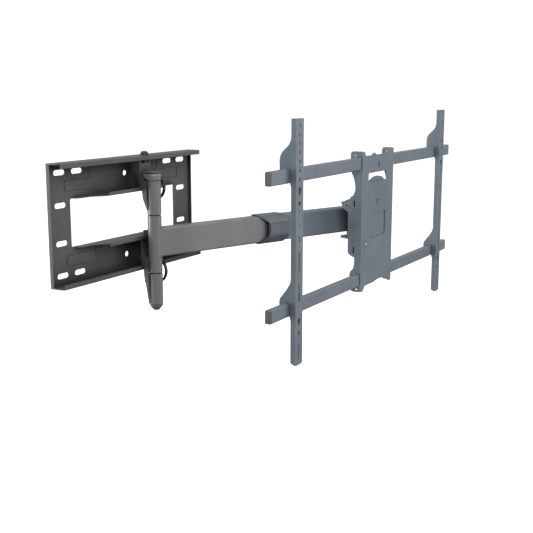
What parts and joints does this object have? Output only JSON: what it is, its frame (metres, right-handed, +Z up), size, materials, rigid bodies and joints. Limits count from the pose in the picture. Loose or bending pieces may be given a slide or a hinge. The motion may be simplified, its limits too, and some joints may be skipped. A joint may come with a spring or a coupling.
{
  "type": "full motion tv wall mount",
  "caption": "Wall-fixed screen mount: channelled wall plate, hinge column, two-piece folding arm, swivelling and tilting head, cross rails and hooked upright screen arms.",
  "frame": {"origin": "the wall face mount: a point on the wall plate's flat back face, midway along its width and 66 mm above its middle", "axes": "+X right along the wall as the room sees it, +Y into the wall, +Z up; the room and the screen are on the -Y side"},
  "size_m": [1.3753, 0.3448, 0.5336],
  "materials": {
    "coat_dark": "fine powder coat, charcoal",
    "coat_grey": "fine powder coat, mid grey",
    "coat_head": "fine powder coat, cool grey",
    "cap_plastic": "moulded, satin",
    "black_plastic": "moulded, black",
    "fastener": "dark zinc"
  },
  "bodies": {
    "wall_side": {"wall_plate": "coat_dark", "hinge_bracket_upper": "coat_dark", "hinge_bracket_lower": "coat_dark", "bracket_bolt_upper": "fastener", "bracket_bolt_lower": "fastener", "bracket_nut_upper": "fastener", "bracket_nut_lower": "fastener", "knuckle_upper": "coat_grey", "knuckle_lower": "coat_grey", "column_cap": "cap_plastic", "column_tip": "cap_plastic", "hinge_pin": "fastener", "cable_hoop_upper": "black_plastic", "cable_hoop_lower": "black_plastic", "bearing_ring_upper": "black_plastic", "bearing_ring_lower": "black_plastic"},
    "arm_one": {"arm1_barrel": "coat_grey", "arm1_tube": "coat_grey", "elbow_eye": "coat_grey"},
    "arm_two": {"arm2_tube": "coat_head", "elbow_cover": "cap_plastic", "elbow_pin": "fastener", "head_eye": "coat_head"},
    "swivel": {"swivel_bracket": "coat_head", "swivel_washer_upper": "black_plastic", "swivel_washer_lower": "black_plastic", "swivel_bolt": "fastener", "swivel_nut": "fastener"},
    "head": {"tilt_cradle": "coat_head", "head_plate": "coat_head", "tilt_rivet_left": "fastener", "tilt_rivet_right": "fastener", "head_screw": "fastener", "rail_upper": "coat_head", "rail_lower": "coat_head", "rail_cap_upper_left": "cap_plastic", "rail_cap_upper_right": "cap_plastic", "rail_cap_lower_left": "cap_plastic", "rail_cap_lower_right": "cap_plastic"},
    "screen_arm_a": {"screen_arm_left": "coat_head"},
    "screen_arm_b": {"screen_arm_right": "coat_head"}
  },
  "joints": [
    {"name": "wall_swivel", "type": "hinge", "parent": "wall_side", "child": "arm_one", "pos_m": [0.03, -0.056, -0.1295], "axis": [0, 0, 1], "range_deg": [-104, 19]},
    {"name": "elbow", "type": "hinge", "parent": "arm_one", "child": "arm_two", "pos_m": [0.33541, -0.14594, -0.1295], "axis": [0, 0, -1], "range_deg": [-140, 0]},
    {"name": "head_swivel", "type": "hinge", "parent": "arm_two", "child": "swivel", "pos_m": [0.60001, -0.26357, -0.1295], "axis": [0, 0, 1], "range_deg": [-20, 140]},
    {"name": "tilt", "type": "hinge", "parent": "swivel", "child": "head", "pos_m": [0.60001, -0.2905, -0.0868], "axis": [1, 0, 0], "range_deg": [-5, 10]},
    {"name": "left_arm_slide", "type": "slide", "parent": "head", "child": "screen_arm_a", "axis": [1, 0, 0], "range_m": [-0.07, 0.3]},
    {"name": "right_arm_slide", "type": "slide", "parent": "head", "child": "screen_arm_b", "axis": [1, 0, 0], "range_m": [-0.3, 0.07]}
  ]
}
